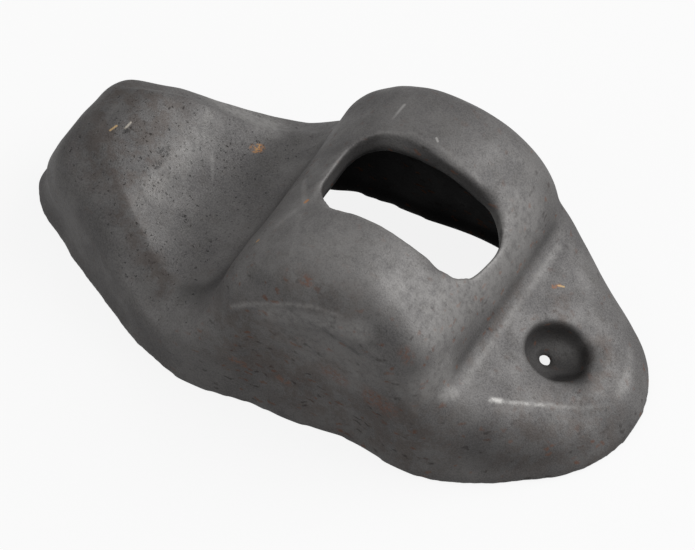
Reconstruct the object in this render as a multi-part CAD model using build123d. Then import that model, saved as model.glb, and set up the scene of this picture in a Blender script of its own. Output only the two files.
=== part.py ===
from build123d import *
from math import cos, hypot, radians, sin, sqrt, tan
import os

# Stamped steel rocker arm, lying on its rim with the open side down.
# Origin: under the fulcrum axis, in the plane of the rim. X runs from the valve tip (minus)
# to the pushrod cup (plus), Y across the arm, Z up through the sheet.

# Sheet and fulcrum barrel
sheet = 2.9
fulcrum_radius = 12.7
fulcrum_height = 11.5
bend_radius = 5.5

# Side profile, outer face: valve pad, web behind it, web floor, pushrod platform
pad_height = 18.6
crest_reach = 37.5
crest_radius = 18.0
web_slope = 41.6
web_run = 19.5
floor_height = 11.0
floor_slope = 17.1
valley_radius = 10.0
tip_foot_radius = 6.0
platform_height = 8.7
platform_slope = 28.0
cup_foot_radius = 4.0

# Rim outline seen from above
tip_overhang = 13.5
tip_lean = 24.0
tip_half_width = 4.75
tip_corner_radius = 6.8
flank_angle = 29.0
tip_shoulder_radius = 20.0
waist_reach = 1.5
waist_half_width = 19.05
waist_radius = 75.0
cup_shoulder_radius = 15.0
nose_centre = 18.7
nose_radius = 15.5
nose_angle = 32.5

# Stud slot through the barrel, cut straight down
slot_length = 21.4
slot_width = 12.7
slot_corner = 3.6
slot_shift = 2.3

# Pushrod cup and its oil hole
cup_reach = 23.4
cup_radius = 4.1
cup_sink = 0.3
cup_wall = 2.2
cup_lip = 0.4
oil_hole = 1.8

barrel_radius = fulcrum_radius + sheet
tip_reach = crest_reach + tip_overhang
floor_reach = crest_reach - web_run
form_top = fulcrum_height + 1.05 * barrel_radius
form_skirt = sheet
far = 1.8 * tip_reach
edge_gap = 0.01
arc_share = 0.9


def under(at_x, at_z, slope, start, end):
    """Face under a sloping line of the side profile, drawn in X and Z."""
    rise = tan(radians(slope))
    left = at_z + (start - at_x) * rise
    right = at_z + (end - at_x) * rise
    return make_face(Polyline((start, -far), (start, left), (end, right), (end, -far), close=True))


def corners(shape):
    """Sharp corners of a plane shape, from the valve tip to the cup, away from its far ends."""
    near = [v for v in shape.vertices() if hypot(v.X, v.Y) < 0.99 * far]
    sharp = [v for v in near if turn(shape, v) > 1]
    return sorted(sharp, key=lambda v: v.X)


def turn(shape, vertex):
    """Angle in degrees by which the outline turns at a vertex."""
    meeting = [e for e in shape.edges() if min(e.distance_to(vertex), 1) < 1e-6]
    first, second = [tangent_away(e, vertex) for e in meeting]
    return 180 - first.get_angle(second)


def tangent_away(edge, vertex):
    """Direction in which an edge leaves a vertex."""
    if (edge @ 0 - Vector(vertex)).length < (edge @ 1 - Vector(vertex)).length:
        return edge % 0
    return -(edge % 1)


def limited(radius, straight, angle):
    """Radius of a round corner, kept to a share of the straight side that it takes up."""
    return min(radius, arc_share * straight / tan(radians(angle) / 2))


def profile():
    """Side profile: the ground under pad, web, floor, barrel and platform, joined by arcs."""
    pad = under(-crest_reach, pad_height, 0, -far, 0)
    web = under(-crest_reach, pad_height, -web_slope, -far, 0)
    floor = under(-floor_reach, floor_height, floor_slope, -far, 0)
    platform = under(cup_reach, platform_height, -platform_slope, 0, far)
    barrel = Pos(0, fulcrum_height) * Circle(barrel_radius)
    shape = (pad & web) + floor + barrel + platform
    radii = [crest_radius, valley_radius, tip_foot_radius, cup_foot_radius]
    for place in reversed(range(len(radii))):
        corner = corners(shape)[place]
        straight = min(e.length for e in shape.edges() if e.distance_to(corner) < edge_gap)
        shape = fillet(corner, limited(radii[place], straight, turn(shape, corner)))
    return shape


def outline(inset):
    """Plan of the upright walls, moved in by inset: flanks, waist and nose, open at the tip end."""
    flank = Pos(-tip_reach, tip_half_width) * Rot(0, 0, flank_angle)
    half = flank * Pos(0, -far - inset) * Rectangle(6 * far, 2 * far)
    half &= mirror(half, Plane.XZ)
    for side in (1, -1):
        waist = Pos(waist_reach, side * (waist_half_width + waist_radius))
        half -= waist * Circle(waist_radius + inset)
    cap = nose_radius - inset
    cap_start = nose_centre + cap * sin(radians(nose_angle))
    wedge = Pos(nose_centre, 0) * Rot(0, 0, -nose_angle) * Pos(0, cap - far) * Rectangle(4 * far, 2 * far)
    wedge &= mirror(wedge, Plane.XZ)
    wedge &= Pos(cap_start - far, 0) * Rectangle(2 * far, 2 * far)
    shape = half & (wedge + Pos(nose_centre, 0) * Circle(cap))
    cup_shoulder = corners(shape)[-2:]
    shape = fillet(cup_shoulder, cup_shoulder_radius - inset)
    tip_shoulder = corners(shape)[-2:]
    return fillet(tip_shoulder, tip_shoulder_radius - inset)


def upright_walls(inset):
    """The plan drawn up to the form's top, with the leaning tip end and its two round corners."""
    plan = outline(inset)
    walls = extrude(plan, form_top)
    end = Pos(-tip_reach, 0, 0) * Rot(0, tip_lean, 0) * Pos(far + inset, 0, 0)
    walls &= end * Box(2 * far, 2 * far, 4 * far)
    corner_radius = limited(tip_corner_radius, tip_half_width, 90 - flank_angle)
    leaning = [e for e in walls.edges() if (e @ 0.5).X < -floor_reach and abs((e % 0).Z) > 0.5]
    walls = fillet(leaning, corner_radius - inset)
    if inset:
        walls += extrude(plan & Pos(far, 0) * Rectangle(2 * far, 2 * far), -form_skirt)
    return walls


def press_form(inset):
    """Solid form of one face of the sheet: walls under the side profile, with a bend all round."""
    side_view = offset(profile(), amount=-inset) if inset else profile()
    solid = upright_walls(inset) & extrude(Plane.XZ * side_view, far / 2, both=True)
    half = (solid & Pos(0, far, 0) * Box(4 * far, 2 * far, 4 * far)).solid()
    cut = [f for f in half.faces() if abs(f.center().Y) < edge_gap or f.normal_at().Z < edge_gap - 1]
    sheet_faces = [f for f in half.faces() if f not in cut]
    standing = [f for f in sheet_faces if f.bounding_box().min.Z < edge_gap and abs(f.normal_at().Z) < 0.6]
    crown_edges = [e for f in sheet_faces if f not in standing for e in f.edges()]
    loop = [e for f in standing for e in f.edges() if e in crown_edges and (e @ 0.5).Z > edge_gap]
    if inset:
        half = chamfer(loop, (2 - sqrt(2)) * (bend_radius - inset))
    else:
        half = fillet(loop, bend_radius)
    return half + mirror(half, Plane.XZ)


def cup_axis():
    """Place the cup on the platform, with its axis square to the slope."""
    return Plane(origin=(cup_reach, 0, platform_height), x_dir=(0, 1, 0),
                 z_dir=(sin(radians(platform_slope)), 0, cos(radians(platform_slope))))


def rocker_arm():
    """The pressed shell with its cup, slot and oil hole."""
    outer = press_form(0)
    inner = press_form(sheet)
    place = cup_axis()
    pocket = place * Pos(0, 0, -cup_sink) * Sphere(cup_radius)
    boss = place * Pos(0, 0, -cup_sink) * Sphere(cup_radius + cup_wall)
    mouth = place * Pos(0, 0, cup_lip - cup_sink) * Cone(cup_radius, cup_radius + 2 * cup_lip, 2 * cup_lip)
    shell = outer - (inner - boss)
    shell -= pocket + mouth
    shell -= place * Cylinder(oil_hole / 2, 4 * cup_radius)
    slot = Pos(slot_shift, 0) * extrude(RectangleRounded(slot_length, slot_width, slot_corner), far)
    return shell - slot


os.makedirs("parts", exist_ok=True)
arm = rocker_arm()
export_step(arm.solid(), "parts/rocker_arm.step")
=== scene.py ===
import math

import bmesh
import bpy
import numpy as np
from mathutils import Matrix, Vector


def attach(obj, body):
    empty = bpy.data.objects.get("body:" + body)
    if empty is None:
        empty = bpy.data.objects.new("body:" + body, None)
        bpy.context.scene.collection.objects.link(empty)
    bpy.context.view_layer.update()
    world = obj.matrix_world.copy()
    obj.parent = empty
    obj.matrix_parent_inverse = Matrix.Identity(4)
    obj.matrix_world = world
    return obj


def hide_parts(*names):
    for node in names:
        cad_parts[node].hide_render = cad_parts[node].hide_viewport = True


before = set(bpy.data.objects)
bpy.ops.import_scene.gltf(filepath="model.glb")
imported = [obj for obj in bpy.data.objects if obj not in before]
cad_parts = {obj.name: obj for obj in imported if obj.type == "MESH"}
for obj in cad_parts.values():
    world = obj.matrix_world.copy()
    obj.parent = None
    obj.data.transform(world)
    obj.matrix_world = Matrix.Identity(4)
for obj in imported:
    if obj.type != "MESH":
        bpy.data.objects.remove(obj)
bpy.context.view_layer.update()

scene = bpy.context.scene
scene.view_settings.view_transform = "Standard"


# The view: the arm lies on a table and is seen from in front and well above, through a
# long lens, with its valve tip to the left and its pushrod end to the right.
view_azimuth = math.radians(29.38)
view_elevation = math.radians(50.49)
view_distance = 0.5026
lens_mm = 211.3
aim = Vector((-0.0039, -0.0042, 0.0115))

right = Vector((math.cos(view_azimuth), math.sin(view_azimuth), 0))
back = Vector((math.sin(view_azimuth) * math.cos(view_elevation),
               -math.cos(view_azimuth) * math.cos(view_elevation),
               math.sin(view_elevation)))
up = back.cross(right)
camera = bpy.data.objects.new("camera", bpy.data.cameras.new("camera"))
camera.data.sensor_width = 36.0
camera.data.sensor_fit = "HORIZONTAL"
camera.data.lens = lens_mm
camera.data.clip_start = 0.01
turned = Matrix((right, up, back)).transposed().to_4x4()
camera.matrix_world = Matrix.Translation(aim + view_distance * back) @ turned
scene.collection.objects.link(camera)
scene.camera = camera


# The arm: one blank of 2.9 mm steel strip, drawn to shape in one piece, pierced for the stud
# and the oil, then case hardened and tumbled, which takes the sharpness off its arrises. It is
# the drawn form on an even grid, smoothed until its arrises have that roundness.
mm = 0.001
merge_distance = 0.002 * mm
grid_step = 0.39 * mm
tumbling_turns = 14

form = bmesh.new()
form.from_mesh(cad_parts["rocker_arm"].data)
bmesh.ops.remove_doubles(form, verts=form.verts, dist=merge_distance)
pressed = bpy.data.meshes.new("pressed_arm")
form.to_mesh(pressed)
form.free()
arm = bpy.data.objects.new("pressed_arm", pressed)
scene.collection.objects.link(arm)
even = arm.modifiers.new("even_grid", "REMESH")
even.mode = "VOXEL"
even.voxel_size = grid_step
tumbled = arm.modifiers.new("tumbled_arrises", "SMOOTH")
tumbled.factor = 0.5
tumbled.iterations = tumbling_turns
bpy.context.view_layer.update()
evaluated = arm.evaluated_get(bpy.context.evaluated_depsgraph_get())
finished = bpy.data.meshes.new_from_object(evaluated)
arm.modifiers.clear()
arm.data = finished
finished.shade_smooth()


def rise(value, start, end):
    """Smooth step: 0 before start, 1 after end."""
    t = np.clip((value - start) / (end - start), 0, 1)
    return t * t * (3 - 2 * t)


def hump(value, middle, reach):
    """Smooth hump: 1 at the middle, falling to 0 one reach away."""
    return 1 - rise(abs(value - middle), 0, reach)


def read_points(kind):
    """The arm's places or normals, one row for each point."""
    row = np.zeros(len(finished.vertices) * 3)
    finished.vertices.foreach_get(kind, row)
    return row.reshape(-1, 3)


# The sheet's own unevenness: a drawn sheet departs from its drawing by some tenths of a
# millimetre. Each paragraph below adds one such departure to the points' move, in mm, as a size
# times smooth steps and humps of the drawn place. The near side is where y is negative.
outward = read_points("normal")
at = read_points("co") / mm

# First, the rim stands out all round at its foot, along the points' level normals.
rim_stands_out = 0.28
at += outward * (1, 1, 0) * rim_stands_out * (1 - rise(at[:, 2:], 0.8, 3.0))

x, y, z = at.T
across, side = abs(y), np.sign(y)
body = rise(z, 1, 6)
move = np.zeros_like(at)
move_x, move_y, move_z = move.T

# The nose's walls lean in, toward its centre, by their height times the tangent of the lean.
nose_centre, nose_lean = 18.7, math.radians(6.5)
past = np.maximum(x - nose_centre, 0)
radius = np.hypot(past, y) + 1e-6
lean = z * math.tan(nose_lean) * rise(x, 13, 20) * rise(radius, 8.5, 12.5)
move_x -= lean * past / radius
move_y -= lean * y / radius

# The web's sides stand proud by the pad and by the barrel, and sink between the two.
swell = 1.15 * hump(x, -32.0, 8) - 0.7 * hump(x, -22, 6.5) + 0.45 * hump(x, -14.5, 5)
move_z += body * rise(across, 5, 11) * swell

# Its bend starts with a tight shoulder, a step down past the line that lies one bend in from
# the flank. That line runs from the tip at the flank's angle until it meets the side's line.
tip_end, tip_half_width, flank_angle = -51, 4.75, math.radians(29)
bend_radius, side_line = 5.5, 15.0
bend_line = tip_half_width + (x - tip_end) * math.tan(flank_angle) - bend_radius
beyond = across - np.minimum(bend_line, side_line)
shoulder = rise(beyond, -0.4, 1.4) * (1 - rise(beyond, 2.0, 5.2))
move_z -= 0.65 * body * shoulder * rise(x, -43, -40) * (1 - rise(x, -19, -15))

# The barrel's ends droop, the pad falls off at its sides, and the rim flares at the waist.
move_z -= 0.45 * body * rise(across, 10, 16) * hump(x, 1, 15)
move_z -= 0.5 * body * rise(across, 2, 9) * hump(x, -39, 7)
move_y += 0.5 * side * hump(x, -4, 9) * (1 - rise(z, 3, 14)) * rise(across, 12, 16)

# The far wall's low part stands out at the waist and in by the web, its inner face most, and
# the fold inside, where the web meets the barrel, is tighter than the drawn one.
low = (1 - rise(z, 2, 11)) * rise(y, 12, 15.5)
inner_face = 0.1 + 0.9 * rise(-outward[:, 1], 0, 0.5)
move_y += low * (1.25 * hump(x, 3.5, 10) - 1.0 * hump(x, -14.5, 6))
move_y -= 2.5 * low * inner_face * hump(x, -19, 5.5)
in_fold = rise(outward[:, 0] - outward[:, 2], 0.25, 0.9)
move_x += 1.1 * in_fold * hump(x, -14, 5) * hump(z, 8.5, 5)

# The slot's corners were pierced tighter than drawn. Each one's edge moves by a shift in x, y
# and z that fades with the distance from the corner's middle. Its far edge is flared back.
fulcrum_height = 11.5
high = rise(z, 12, 15)
for middle_x, middle_y, reach, shift in (
        (12.0, -5.8, 5.0, (-0.42, 0.65, 0.42)),
        (12.8, -2.2, 4.0, (-0.33, 0.00, 0.40)),
        (-8.0, -5.6, 4.0, (0.55, 0.45, 0.20))):
    share = high * (1 - rise(np.hypot(x - middle_x, y - middle_y), 0.8, reach))
    move += share[:, None] * shift
outer_half = rise(np.hypot(x, z - fulcrum_height), 13.2, 15.2)
flared = high * outer_half * (1 - rise(abs(y - 6.5), 1.0, 4.5))
move_y += 0.85 * flared * hump(x, -3.0, 8.5)

# The outline: the nose's far flank lies in, the pad's far corner low, and the far end of the
# web's valley high. The near toe lies out by the nose, and in at the waist and by the web.
move_y -= 0.45 * rise(y, 7, 11) * hump(x, 21.5, 7)
move_z -= 0.30 * body * rise(y, 2, 6) * hump(x, -40.4, 4)
move_z += 0.42 * body * rise(y, 11, 16) * hump(x, -17.5, 6)
toe = rise(-y, 9, 12) * (1 - rise(z, 3, 9))
move_y -= 0.40 * toe * hump(x, 23, 5)
move_y += 0.35 * toe * (hump(x, 5, 5) + hump(x, -23, 5) + 0.6 * hump(x, -8.5, 4))

# The tip's end lies back at the foot of its near half, and out at its middle and its top.
move_x += 0.75 * (1 - rise(x, -44, -40)) * rise(-y, 1, 6) * (1 - rise(z, 4, 9))
move_x -= 0.50 * (1 - rise(x, -44, -38)) * (1 - rise(abs(y + 6), 3.5, 8)) * hump(z, 9.5, 5)
move_x -= 0.30 * (1 - rise(x, -44, -40)) * (1 - rise(abs(y + 3.5), 3, 7)) * rise(z, 10, 14)

# The cup was sunk a little oval, 6% wider along one diagonal and 8% narrower along the other,
# and its floor slid to the far side. The sheet is thinned where the oil hole was pierced.
cup_x, cup_z, cup_lean = 23.4, 8.7, math.radians(28)
lean_sin, lean_cos = math.sin(cup_lean), math.cos(cup_lean)
deep = -((x - cup_x) * lean_sin + (z - cup_z) * lean_cos)
down = (x - cup_x) * lean_cos - (z - cup_z) * lean_sin
aside = np.hypot(down, y)
by_cup = 0.5 * (1 - rise(aside, 4.6, 8.0))
wider, narrower = 0.06 * (down + y) * by_cup, -0.08 * (down - y) * by_cup
by_hole = (1 - rise(aside, 1.3, 3.2)) * rise(deep, 2.0, 3.5)
thinned = 0.55 * np.maximum(deep - 4.4, 0) * by_hole
slid = rise(deep, 0.3, 4.6) * (1 - rise(aside, 3.6, 6.0))
move_x += (wider + narrower) * lean_cos + thinned * lean_sin
move_y += wider - narrower + 0.95 * slid
move_z += thinned * lean_cos - (wider + narrower) * lean_sin

# Long, low waves, sums and products of sines across the sheet, cross all of it.
waves = np.sin(0.9 * x + 0.5 * y + 1.1 * z) + np.sin(0.5 * x - 1.2 * y + 0.4 * z + 2)
waves += np.sin(1.5 * x + 0.7 * z + 4) * np.sin(1.3 * y - 0.6 * z + 1)
move_z += 0.03 * waves * body
at = at + move

# The slot's right end is rubbed smooth: each point moves halfway to its neighbours' mean.
rubbing_turns = 45
edges = np.zeros(len(finished.edges) * 2, int)
finished.edges.foreach_get("vertices", edges)
edges = edges.reshape(-1, 2)
point, neighbour = np.concatenate([edges, edges[:, ::-1]]).T
neighbours = np.bincount(point, minlength=len(at))[:, None]
rubbed = rise(at[:, 0], 8.0, 10.5) * (1 - rise(abs(at[:, 1]), 6.5, 8.5))
rubbed = (rubbed * rise(at[:, 2], 9, 12))[:, None]
for _ in range(rubbing_turns):
    total = [np.bincount(point, at[neighbour, way], len(at)) for way in range(3)]
    at = at + 0.5 * rubbed * (np.stack(total, 1) / neighbours - at)
finished.vertices.foreach_set("co", (at * mm).ravel())
finished.update()


def stroke(way, width, soft):
    """1 on a line through the places of way, in mm, falling to 0 past its half width: each
    point's distance from its foot on the nearest run of the line, in a smooth step."""
    best = np.full(len(at), 1e9)
    for start, end in zip(np.array(way[:-1], float), np.array(way[1:], float)):
        along = end - start
        share = np.clip((at - start) @ along / (along @ along + 1e-9), 0, 1)
        best = np.minimum(best, np.linalg.norm(at - start - share[:, None] * along, axis=1))
    return 1 - rise(best, width, width + soft)


# Where it is lighter: worn along the platform's edge and round the nose, where the light lines
# are also painted highlights on those bends; on the arc that its stop left on the near side;
# beside the slot; and along the crest between pad and web, partly wear and partly a painted
# highlight. The broad, soft lines are painted light: on the barrel beside and below the slot,
# at its foot and on its near side, and on the web's far edge. Each line is its places, its half
# width, how softly it ends, both in mm, and how strong it is.
worn_and_painted_light = np.zeros(len(at))
for way, width, soft, weight in (
        (((20.3, -11.7, 10.2), (21.2, -11.0, 9.8)), 0.05, 0.45, 0.85),
        (((21.2, -11.0, 9.8), (22.4, -10.1, 9.2), (23.6, -9.1, 8.6), (25.2, -7.7, 7.8)),
         0.02, 0.42, 0.55),
        (((25.2, -7.6, 7.8), (28.7, -4.5, 5.9), (31.2, -1.5, 4.7)), 0.05, 0.5, 0.2),
        (((31.6, 1.0, 4.2), (31.2, 4.8, 4.4), (30.0, 7.4, 5.0)), 0.2, 0.9, 0.15),
        (((-11.6, -19.1, 16.6), (-9.5, -19.3, 18.6), (-7.4, -19.3, 19.9), (-3.5, -19.0, 21.9),
          (-0.1, -18.7, 23.1), (3.3, -18.5, 23.1)), 0.0, 0.55, 0.24),
        (((3.3, -18.5, 23.1), (8.4, -19.0, 19.4), (11.6, -19.1, 14.8), (13.8, -18.7, 11.9)),
         0.1, 0.9, 0.08),
        (((-8.8, -2.5, 24.3), (-7.9, -5.7, 25.0), (-4.6, -6.6, 26.4), (0.0, -6.6, 27.0),
          (4.6, -6.6, 26.4), (8.6, -6.4, 24.4), (11.4, -5.2, 22.1), (12.6, -2.4, 20.9),
          (12.8, 2.0, 20.7)), 0.25, 0.45, 0.13),
        (((-9.2, -1.0, 24.0), (-8.0, 4.5, 24.8), (-5.6, 7.2, 26.0), (-2.0, 8.0, 26.9),
          (3.0, 7.7, 26.8), (8.0, 7.0, 24.9), (11.8, 4.8, 21.8), (13.1, 1.0, 20.0)),
         0.02, 0.4, 0.12),
        (((12.0, -12.0, 20.5), (13.6, 0.0, 18.8), (13.4, 9.0, 19.0)), 1.5, 4.5, 0.22),
        (((-4.0, -11.0, 26.0), (6.0, -11.5, 25.5)), 1.5, 4.5, 0.12),
        (((7.5, -11.6, 25.1), (9.7, -10.7, 23.6)), 0.8, 3.5, 0.20),
        (((14.9, -14.0, 15.6), (14.2, -17.0, 15.0)), 0.6, 3.0, 0.22),
        (((-6.0, -19.1, 19.0), (2.1, -19.0, 21.6), (6.0, -18.6, 21.9)), 0.3, 2.0, 0.22),
        (((-31.5, 13.4, 10.8), (-26.0, 14.6, 9.2)), 0.8, 3.2, 0.28),
        (((-3.0, -19.0, 16.0), (6.0, -19.2, 15.0)), 1.5, 5.0, 0.10),
        (((9.6, -11.6, 23.4), (11.6, -11.0, 22.0)), 0.2, 2.4, 0.10),
        (((-9.5, -7.5, 24.0), (-10.4, -9.8, 23.2)), 0.1, 1.0, 0.14),
        (((16.4, -14.9, 12.5), (15.8, -15.6, 12.9)), 0.3, 1.4, 0.28),
        (((-31.0, 8.0, 12.8), (-31.2, 0.0, 12.9), (-31.4, -8.0, 13.0)), 0.4, 2.6, 0.20),
        (((-40.3, -3.0, 18.3), (-40.3, 6.0, 18.3)), 0.2, 0.9, 0.12),
        (((16.9, 12.0, 12.2), (17.0, 0.0, 12.4), (16.9, -12.5, 12.3)), 0.05, 0.8, 0.15)):
    worn_and_painted_light = np.maximum(worn_and_painted_light, weight * stroke(way, width, soft))

# Where oil baked on: brown on the pad and shoulders, along the near side, at the foot of the
# nose, round the cup and where platform meets barrel. The brown on the cup's far right side is
# partly painted shade.
oil_and_painted_shade = np.zeros(len(at))
for way, width, soft, weight in (
        (((-38.0, 3.0, 17.6), (-36.0, -4.0, 17.0)), 3.0, 6.0, 1.0),
        (((-33.5, -9.6, 13.6), (-28.0, -12.5, 10.5), (-24.0, -15.0, 9.0)), 0.6, 2.2, 0.9),
        (((-8.0, -20.0, 12.0), (0.0, -19.6, 9.0), (12.0, -19.8, 7.0)), 3.5, 7.0, 0.9),
        (((24.8, -12.6, 6.0), (31.2, -5.0, 4.1)), 2.5, 5.0, 0.7),
        (((20.6, 5.5, 10.2), (21.6, 4.6, 9.8)), 0.5, 2.2, 0.9),
        (((27.0, 4.6, 6.4), (28.4, 2.0, 5.6), (28.6, 0.0, 5.5)), 0.5, 2.4, 0.9),
        (((-3.0, -17.0, 23.6), (3.0, -17.0, 24.0)), 0.8, 3.5, 0.6),
        (((16.0, -9.0, 13.2), (16.0, 6.0, 13.2)), 0.3, 1.8, 0.6)):
    oil_and_painted_shade = np.maximum(oil_and_painted_shade, weight * stroke(way, width, soft))

# Where it is darker: painted shade in the cup, in the folds and creases, on the shoulders'
# bends, in a band on the barrel's near side, on the pad's end and the nose's near wall, on the
# cut face of the slot and all over the inside; dark scale in a few dents, and one straight dark
# mark on the near side.
marks_and_painted_shade = np.zeros(len(at))
for way, width, soft, weight in (
        (((23.25, 0.0, 8.4), (23.2, 0.0, 8.3)), 4.0, 0.6, 0.45),
        (((26.4, -0.5, 7.4), (25.2, -1.5, 5.6)), 1.2, 2.6, 0.74),
        (((26.4, 3.0, 6.2), (26.8, 1.5, 6.0)), 1.0, 1.5, 0.6),
        (((-15.5, 12.5, 12.2), (-15.6, -9.5, 12.2), (-16.9, -13.3, 11.9), (-18.7, -14.6, 10.7),
          (-20.6, -14.6, 9.6)), 0.3, 2.6, 0.46),
        (((15.4, -12.5, 13.9), (15.4, 13.5, 13.9)), 0.1, 1.1, 0.36),
        (((17.4, 13.5, 12.0), (18.3, 7.8, 11.4), (19.6, 3.8, 10.8)), 0.1, 0.8, 0.14),
        (((-9.0, -17.5, 22.0), (-2.2, -17.3, 24.6), (5.5, -17.1, 24.2), (9.6, -17.3, 21.6),
          (12.3, -17.5, 18.2)), 0.3, 1.8, 0.20),
        (((-42.5, -4.5, 16.0), (-38.6, -9.1, 14.6), (-33.5, -11.8, 12.4), (-29.8, -13.3, 10.5),
          (-25.5, -15.0, 8.8)), 1.2, 2.6, 0.24),
        (((-23.4, 11.0, 9.2), (-22.6, 6.0, 9.4)), 1.0, 3.5, 0.18),
        (((-43.0, 4.0, 17.4), (-38.5, -2.0, 17.4)), 3.0, 7.0, 0.38),
        (((-10.5, -3.0, 23.0), (-10.5, 5.0, 23.0)), 0.6, 2.5, 0.20),
        (((22.0, -14.8, 6.0), (29.0, -8.5, 4.2), (33.5, -2.0, 3.0)), 1.5, 3.6, 0.26),
        (((-2.5, -19.2, 20.5), (-0.6, -19.2, 20.4), (2.9, -19.1, 19.4), (6.2, -19.2, 18.4)),
         0.12, 0.35, 0.42),
        (((-2.9, -19.2, 21.0), (-2.5, -19.2, 20.5)), 0.1, 0.3, 0.35)):
    marks_and_painted_shade = np.maximum(marks_and_painted_shade, weight * stroke(way, width, soft))
x, y, z = at.T
# The inside, the faces under the barrel and the slot's cut face get painted shade.
barrel = np.hypot(x, z - fulcrum_height)
from_middle = at - (0, 0, 6)
inward = -(outward * from_middle).sum(1) / np.linalg.norm(from_middle, axis=1)
inside = (1 - rise(barrel, 13.0, 14.2)) * rise(inward, -0.05, 0.25)
underside = rise(-outward[:, 2], 0.1, 0.5) * rise(z, 3, 5)
far_wall = rise(-outward[:, 1], 0.2, 0.6) * rise(y, 5, 9)
below_barrel = (1 - rise(barrel, 19, 24)) * (1 - rise(z, 10, 12))
inside = np.maximum(inside, np.maximum(underside, far_wall) * below_barrel)
cut_face = (1 - rise(barrel, 14.7, 15.4)) * (1 - rise(abs(y), 7.6, 8.4)) * rise(z, 17, 19.5)
marks_and_painted_shade = np.maximum(marks_and_painted_shade, np.maximum(0.96 * inside, 0.42 * cut_face))

# The three masks, wear with painted light, oil with painted shade, and dark marks with painted
# shade, are the red, green and blue of one colour for each point.
masks = np.ones((len(at), 4), np.float32)
masks[:, :3] = np.stack([worn_and_painted_light, oil_and_painted_shade, marks_and_painted_shade], 1)
finished.attributes.new("wear_stains_and_painted_light", "FLOAT_COLOR", "POINT").data.foreach_set("color", masks.ravel())


# Its surface: case-hardened steel as it left the furnace and the tumbling barrel. It is a
# satin grey, mottled, finely grained and pitted, with oil stains and a little fresh rust.
def linear(hex_colour):
    """sRGB hex colour as linear red, green, blue and alpha."""
    parts = [int(hex_colour[i:i + 2], 16) / 255 for i in (1, 3, 5)]
    return [c / 12.92 if c <= 0.04045 else ((c + 0.055) / 1.055) ** 2.4 for c in parts] + [1.0]


def node(tree, kind, settings=None, **links):
    """Adds a node. Settings are its properties. A link is named for its socket, or i and the
    socket's number. It is a value, another node's output, or a node, for its first output."""
    made = tree.nodes.new(kind)
    for name, value in (settings or {}).items():
        setattr(made, name, value)
    for name, value in links.items():
        numbered = name[0] == "i" and name[1:].isdigit()
        socket = made.inputs[int(name[1:]) if numbered else name.replace("_", " ")]
        if isinstance(value, bpy.types.Node):
            value = next(output for output in value.outputs if output.enabled)
        if isinstance(value, bpy.types.NodeSocket):
            tree.links.new(value, socket)
        else:
            socket.default_value = value
    return made


def new_material(name):
    """An empty node material and its tree."""
    made = bpy.data.materials.new(name)
    made.use_nodes = True
    made.node_tree.nodes.clear()
    return made, made.node_tree


steel, tree = new_material("case_hardened_tumbled_steel")
smooth = {"interpolation_type": "SMOOTHSTEP"}
times, plus, larger = ({"operation": how} for how in ("MULTIPLY", "ADD", "MAXIMUM"))
in_colour = {"data_type": "RGBA"}

place = node(tree, "ShaderNodeTexCoord").outputs["Object"]
place = node(tree, "ShaderNodeVectorMath", {"operation": "SCALE"}, i0=place, Scale=1 / mm)
along = node(tree, "ShaderNodeSeparateXYZ", Vector=place).outputs["X"]
facing = node(tree, "ShaderNodeNewGeometry").outputs["Normal"]
upward = node(tree, "ShaderNodeSeparateXYZ", Vector=facing).outputs["Z"]
wear_stains_and_painted_light = node(tree, "ShaderNodeAttribute", {"attribute_name": "wear_stains_and_painted_light"}).outputs["Color"]
wear_stains_and_painted_light = node(tree, "ShaderNodeSeparateColor", Color=wear_stains_and_painted_light).outputs

# Its noises, by the size in mm of their largest waves: the furnace's mottle and blotches, the
# grain that the tumbling stones left, which is really about 0.05 mm and is drawn at 0.22 mm so
# that it shows, smeared oil, and the breaks in the rubs and in the edges of the crumbs.
noise = {}
for name, size, detail, rough, shift in (
        ("mottle", 6.25, 4.0, 0.6, 0.0),
        ("blotch", 1.8182, 3.0, 0.6, 40.0),
        ("grain", 0.2174, 1.0, 0.7, 0.0),
        ("smear", 2.2222, 3.0, 0.75, 12.0),
        ("breaks", 0.9091, 3.0, 0.7, 7.0),
        ("ragged", 0.5882, 4.0, 0.8, 3.0)):
    moved = node(tree, "ShaderNodeVectorMath", plus, i0=place, i1=(shift, shift, shift))
    noise[name] = node(tree, "ShaderNodeTexNoise", Vector=moved, Scale=1 / size, Detail=detail,
                       Roughness=rough)
mottled = node(tree, "ShaderNodeMapRange", smooth, Value=noise["mottle"], From_Min=0.32,
               From_Max=0.68)
blotched = node(tree, "ShaderNodeMapRange", smooth, Value=noise["blotch"], From_Min=0.45,
                From_Max=0.7, To_Max=0.35)
light_grain = node(tree, "ShaderNodeMapRange", smooth, Value=noise["grain"], From_Min=0.35,
                   From_Max=0.75, To_Max=0.34)
dark_grain = node(tree, "ShaderNodeMapRange", smooth, Value=noise["grain"], From_Min=0.5,
                  From_Max=0.2, To_Max=0.30)

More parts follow.
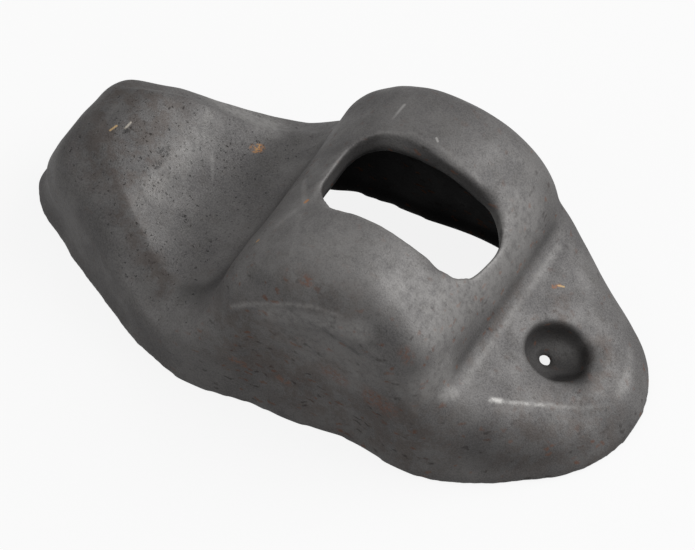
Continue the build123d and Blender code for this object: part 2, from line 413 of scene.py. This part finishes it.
# The web and pad, where the sheet was ironed by the punch, are bare and finely pitted. The
# pits lie in cells of 1.2 mm and of 0.5 mm, and only some cells have one. A noise of 0.6 mm
# shakes them out of round.
ironed = node(tree, "ShaderNodeMath", times, i0=node(
    tree, "ShaderNodeMapRange", smooth, Value=along, From_Min=-15.0, From_Max=-19.0), i1=node(
    tree, "ShaderNodeMapRange", smooth, Value=upward, From_Min=0.55, From_Max=0.8))
shaken = node(tree, "ShaderNodeTexNoise", Vector=place, Scale=1 / 0.625, Detail=3.0,
              Roughness=0.7).outputs["Color"]
shaken = node(tree, "ShaderNodeVectorMath", {"operation": "MULTIPLY_ADD"}, i0=shaken,
              i1=(1.2, 1.2, 1.2), i2=place)
pits = 0.0
for cell, axis, rim, floor, seldom, often, depth in (
        (1.1765, "X", 0.17, 0.09, 0.55, 0.75, 1.0),
        (0.5, "Y", 0.26, 0.12, 0.5, 0.8, 0.8)):
    cells = node(tree, "ShaderNodeTexVoronoi", {"feature": "F1"}, Vector=shaken,
                 Scale=1 / cell, Randomness=1.0).outputs
    chance = node(tree, "ShaderNodeSeparateXYZ", Vector=cells["Color"]).outputs[axis]
    dot = node(tree, "ShaderNodeMapRange", smooth, Value=cells["Distance"], From_Min=rim,
               From_Max=floor)
    chosen = node(tree, "ShaderNodeMapRange", smooth, Value=chance, From_Min=seldom,
                  From_Max=often, To_Max=depth)
    dot = node(tree, "ShaderNodeMath", times, i0=dot, i1=chosen)
    pits = node(tree, "ShaderNodeMath", larger, i0=pits, i1=dot)
pitted = node(tree, "ShaderNodeMapRange", smooth, Value=ironed, To_Min=0.25, To_Max=1.0)
pits = node(tree, "ShaderNodeMath", times, i0=pits, i1=pitted)
pit_shade = node(tree, "ShaderNodeMath", times, i0=pits, i1=0.8)

# Oil that baked on in use has left brown smudges, partly painted shade by the cup, and the
# upright walls get painted shade, darker the steeper they stand.
smeared = node(tree, "ShaderNodeMapRange", smooth, Value=noise["smear"], From_Min=0.40,
               From_Max=0.62, To_Max=0.5)
oil_stain_and_painted_shade = node(tree, "ShaderNodeMath", times, i0=smeared, i1=wear_stains_and_painted_light["Green"])
painted_wall_shade = node(tree, "ShaderNodeMapRange", smooth, Value=upward, From_Min=0.75, From_Max=0.15,
             To_Max=0.26)

# Fresh rust in flecks of 1.7 by 1.1 by 0.8 mm at most, led astray by a noise of 1.1 mm. They
# are on the upright walls and the platform more than on the worn top, and some are still
# orange, while others have turned dark brown.
stretch = (0.36, 0.55, 0.8)
rust_place = node(tree, "ShaderNodeMapping", {"vector_type": "POINT"}, Vector=place,
                  Scale=stretch)
wander = node(tree, "ShaderNodeTexNoise", Vector=place, Scale=1 / 1.1111,
              Detail=3.0).outputs["Color"]
rust_place = node(tree, "ShaderNodeVectorMath", plus, i0=rust_place, i1=wander)
flecks = node(tree, "ShaderNodeTexVoronoi", {"feature": "F1"}, Vector=rust_place,
              Scale=1 / 0.625, Randomness=1.0).outputs
chance = node(tree, "ShaderNodeSeparateXYZ", Vector=flecks["Color"]).outputs
rust = 1.0
for value, low, high, least in (
        (flecks["Distance"], 0.42, 0.10, 0.0), (chance["Z"], 0.52, 0.66, 0.0),
        (upward, 0.9, 0.45, 0.25), (along, -26.0, -8.0, 0.15)):
    share = node(tree, "ShaderNodeMapRange", smooth, Value=value, From_Min=low, From_Max=high,
                 To_Min=least)
    rust = node(tree, "ShaderNodeMath", times, i0=rust, i1=share)
rust_shade = node(tree, "ShaderNodeMath", times, i0=rust, i1=0.62)
fleck_tone = node(tree, "ShaderNodeMapRange", smooth, Value=chance["X"], From_Min=0.35,
                  From_Max=0.55)
fleck_tone = node(tree, "ShaderNodeMix", in_colour, i0=fleck_tone, i6=linear("#2f2a28"),
                  i7=linear("#684330"))


def near_line(start, end, width, soft):
    """1 on the straight line from start to end, in mm, falling to 0 past its half width: the
    distance from a point's foot on the line, in a smooth step. The foot's share of the line is
    the point's dot product with it, kept from 0 to 1."""
    start, end = Vector(start), Vector(end)
    run = end - start
    away = node(tree, "ShaderNodeVectorMath", {"operation": "SUBTRACT"}, i0=place, i1=start)
    share = node(tree, "ShaderNodeVectorMath", {"operation": "DOT_PRODUCT"}, i0=away,
                 i1=run / run.length_squared)
    share = node(tree, "ShaderNodeMath", {"operation": "ADD", "use_clamp": True}, i0=share,
                 i1=0.0)
    foot = node(tree, "ShaderNodeVectorMath", {"operation": "SCALE"}, i0=run, Scale=share)
    gap = node(tree, "ShaderNodeVectorMath", {"operation": "DISTANCE"}, i0=away, i1=foot)
    return node(tree, "ShaderNodeMapRange", smooth, Value=gap, From_Min=width + soft,
                From_Max=width)


# Worn places and the painted light on the edges, the crest and the barrel are lighter and
# smoother, and broken up by the grain. A few scratches cross them, each with its two ends, half
# width and softness in mm, and its strength.
broken = node(tree, "ShaderNodeMapRange", smooth, Value=noise["breaks"], From_Min=0.30,
              From_Max=0.60, To_Min=0.3, To_Max=1.0)
rubs_and_painted_light = node(tree, "ShaderNodeMath", times, i0=wear_stains_and_painted_light["Red"], i1=broken)
for start, end, width, soft, weight in (
        ((-5.2, 12.3, 26.2), (-5.4, 9.7, 26.3), 0.05, 0.30, 0.42),
        ((1.2, 8.8, 27.0), (1.6, 8.4, 27.0), 0.06, 0.15, 0.5),
        ((-30.9, 9.0, 13.4), (-28.2, 4.2, 10.9), 0.05, 0.35, 0.14),
        ((-28.2, 4.2, 10.9), (-26.9, 1.8, 10.1), 0.05, 0.35, 0.10),
        ((-8.0, -8.4, 24.8), (-5.4, -14.6, 25.8), 0.1, 0.9, 0.10),
        ((-11.8, -1.0, 21.8), (-8.6, -6.4, 24.4), 0.05, 0.6, 0.12)):
    scratch = near_line(start, end, width, soft)
    scratch = node(tree, "ShaderNodeMath", times, i0=scratch, i1=weight)
    rubs_and_painted_light = node(tree, "ShaderNodeMath", larger, i0=rubs_and_painted_light, i1=scratch)

# The colour: each of these lies over the ones before it, by its own share.
colour = node(tree, "ShaderNodeMix", in_colour, i0=mottled, i6=linear("#595757"),
              i7=linear("#6b6968"))
# Of these, the walls' dark grey and the near black are painted shade, the brown stain is partly
# painted shade, and the light grey rubs are partly painted light.
for share, shade in (
        (blotched, linear("#55524f")), (light_grain, linear("#7f7d7b")),
        (dark_grain, linear("#3b3939")), (pit_shade, linear("#232122")),
        (oil_stain_and_painted_shade, linear("#4f4138")), (painted_wall_shade, linear("#2b2828")),
        (wear_stains_and_painted_light["Blue"], linear("#100f10")), (rust_shade, fleck_tone),
        (rubs_and_painted_light, linear("#c2c0bd"))):
    colour = node(tree, "ShaderNodeMix", in_colour, i0=share, i6=colour, i7=shade)

# Crumbs of rust, scale and lint lying in the surface. All but the strongest are ragged.
ragged = node(tree, "ShaderNodeMapRange", smooth, Value=noise["ragged"], From_Min=0.44,
              From_Max=0.56)
for start, end, width, soft, shade, strength in (
        ((-25.2, 9.5, 9.6), (-24.7, 10.1, 9.4), 0.35, 0.5, "#b0773c", 0.79),
        ((-24.9, 9.3, 9.6), (-25.1, 10.3, 9.4), 0.12, 0.25, "#c99a5e", 0.7),
        ((18.9, 6.9, 11.1), (19.5, 7.6, 10.8), 0.10, 0.35, "#8a5c3e", 0.79),
        ((19.3, 7.5, 10.9), (19.9, 7.9, 10.6), 0.03, 0.16, "#c0a070", 0.85),
        ((-11.7, -12.4, 21.9), (-11.6, -12.3, 21.9), 0.12, 0.25, "#c0935a", 0.8),
        ((-8.8, -5.9, 24.3), (-8.7, -5.6, 24.3), 0.12, 0.25, "#b5793f", 0.8),
        ((-2.5, -17.2, 25.2), (-1.9, -17.2, 25.2), 0.2, 0.8, "#70442f", 0.6),
        ((1.8, -18.9, 12.3), (3.6, -18.9, 12.0), 0.3, 1.5, "#6a4433", 0.5),
        ((8.0, -19.4, 11.4), (10.0, -19.4, 11.0), 0.4, 2.0, "#6a4433", 0.6),
        ((11.3, -17.4, 20.0), (11.8, -17.4, 19.2), 0.2, 1.1, "#6a4433", 0.5),
        ((-11.0, -20.0, 7.9), (-9.6, -20.0, 7.5), 0.1, 0.8, "#74482f", 0.6),
        ((-4.8, -19.6, 7.6), (-3.6, -19.6, 7.2), 0.1, 0.7, "#74482f", 0.5),
        ((-38.8, -2.7, 17.5), (-38.5, -1.6, 17.5), 0.04, 0.16, "#b89a6c", 0.85),
        ((-37.5, -1.2, 17.2), (-37.4, 0.0, 17.2), 0.04, 0.16, "#aaa398", 0.85),
        ((-37.3, -1.5, 17.0), (-37.1, -1.2, 17.0), 0.14, 0.25, "#1f1d1c", 0.85),
        ((-41.4, -5.6, 15.9), (-41.2, -5.4, 15.9), 0.12, 0.25, "#b9b7b4", 0.7),
        ((-32.8, -0.2, 14.2), (-32.3, 0.6, 14.1), 0.35, 0.55, "#222020", 0.79),
        ((-32.6, -2.4, 14.0), (-32.3, -1.6, 14.0), 0.25, 0.55, "#222020", 0.75)):
    crumb = near_line(start, end, width, soft)
    crumb = node(tree, "ShaderNodeMath", times, i0=crumb, i1=strength)
    if strength < 0.8:
        crumb = node(tree, "ShaderNodeMath", times, i0=crumb, i1=ragged)
    colour = node(tree, "ShaderNodeMix", in_colour, i0=crumb, i6=colour, i7=linear(shade))

# Relief, in mm: the fine grain, deeper on the bare web and pad, and the pits cut in.
grain_height = node(tree, "ShaderNodeMapRange", smooth, Value=ironed, To_Min=0.030,
                    To_Max=0.055)
relief = node(tree, "ShaderNodeMath", times, i0=noise["grain"], i1=grain_height)
relief = node(tree, "ShaderNodeMath", {"operation": "MULTIPLY_ADD"}, i0=pits, i1=-0.10,
              i2=relief)
bumpy = node(tree, "ShaderNodeBump", Strength=1.0, Distance=mm, Height=relief)

# Polish: a satin, duller where it is mottled dark or rusty, and smoother where it is rubbed or
# light is painted. Thin furnace scale covers the metal, so it shines only in part as bare metal
# does, and where shade is painted dark, the gleam is taken away too.
polish = node(tree, "ShaderNodeMath", {"operation": "MULTIPLY_ADD"}, i0=noise["grain"],
              i1=0.3, i2=noise["mottle"])
polish = node(tree, "ShaderNodeMapRange", smooth, Value=polish, From_Min=0.45, From_Max=0.85,
              To_Min=0.62, To_Max=0.46)
for share, change in ((rust, 0.25), (rubs_and_painted_light, -0.15)):
    polish = node(tree, "ShaderNodeMath", {"operation": "MULTIPLY_ADD", "use_clamp": True},
                  i0=share, i1=change, i2=polish)
gleam = node(tree, "ShaderNodeMapRange", smooth, Value=wear_stains_and_painted_light["Blue"], From_Min=0.5,
             From_Max=0.95, To_Min=0.5, To_Max=0.05)
shader = node(tree, "ShaderNodeBsdfPrincipled", Base_Color=colour, Metallic=0.25,
              Roughness=polish, Normal=bumpy, Specular_IOR_Level=gleam)
node(tree, "ShaderNodeOutputMaterial", Surface=shader)
arm.data.materials.clear()
arm.data.materials.append(steel)
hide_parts("rocker_arm")
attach(arm, "root")


# The table: a sheet of matt white paper, cut large. The camera sees it at nearly full white
# with a faint shadow, and it gives the arm less light than white paper would.
half_side = 3.0
corners = np.array([(-1, -1, 0), (1, -1, 0), (1, 1, 0), (-1, 1, 0)]) * half_side
table_mesh = bpy.data.meshes.new("table")
table_mesh.from_pydata(corners.tolist(), [], [(0, 1, 2, 3)])
table = bpy.data.objects.new("table", table_mesh)
scene.collection.objects.link(table)
paper, tree = new_material("matt_white_paper")
ray = node(tree, "ShaderNodeLightPath").outputs
seen = node(tree, "ShaderNodeMath", times, i0=ray["Is Camera Ray"], i1=0.9)
seen = node(tree, "ShaderNodeMath", {"operation": "MULTIPLY_ADD"}, i0=ray["Is Glossy Ray"],
            i1=0.25, i2=seen)
paper_tone = node(tree, "ShaderNodeMix", in_colour, i0=ray["Is Camera Ray"],
                  i6=linear("#a8a8a8"), i7=linear("#f6f6f6"))
lit = node(tree, "ShaderNodeBsdfDiffuse", Color=paper_tone)
plain = node(tree, "ShaderNodeEmission", Color=linear("#fcfcfc"), Strength=1.0)
mixed = node(tree, "ShaderNodeMixShader", i0=seen, i1=lit, i2=plain)
node(tree, "ShaderNodeOutputMaterial", Surface=mixed)
table_mesh.materials.append(paper)


# The light: one large soft box high on the right behind the arm, a weak one in front on the
# left, and an even white studio all round.
def lamp(name, place, size, watts):
    """A square soft box that faces the origin."""
    light = bpy.data.lights.new(name, "AREA")
    light.size = size
    light.energy = watts
    made = bpy.data.objects.new(name, light)
    made.location = place
    made.rotation_euler = Vector(place).to_track_quat("Z", "Y").to_euler()
    scene.collection.objects.link(made)


lamp("soft_box", (0.52, 0.36, 0.48), 0.75, 5.0)
lamp("left_fill", (-0.30, -0.60, 0.45), 0.6, 0.8)

studio = bpy.data.worlds.new("studio")
scene.world = studio
studio.use_nodes = True
studio.node_tree.nodes.clear()
sky = node(studio.node_tree, "ShaderNodeBackground", Color=(1, 1, 1, 1), Strength=0.50)
node(studio.node_tree, "ShaderNodeOutputWorld", Surface=sky)
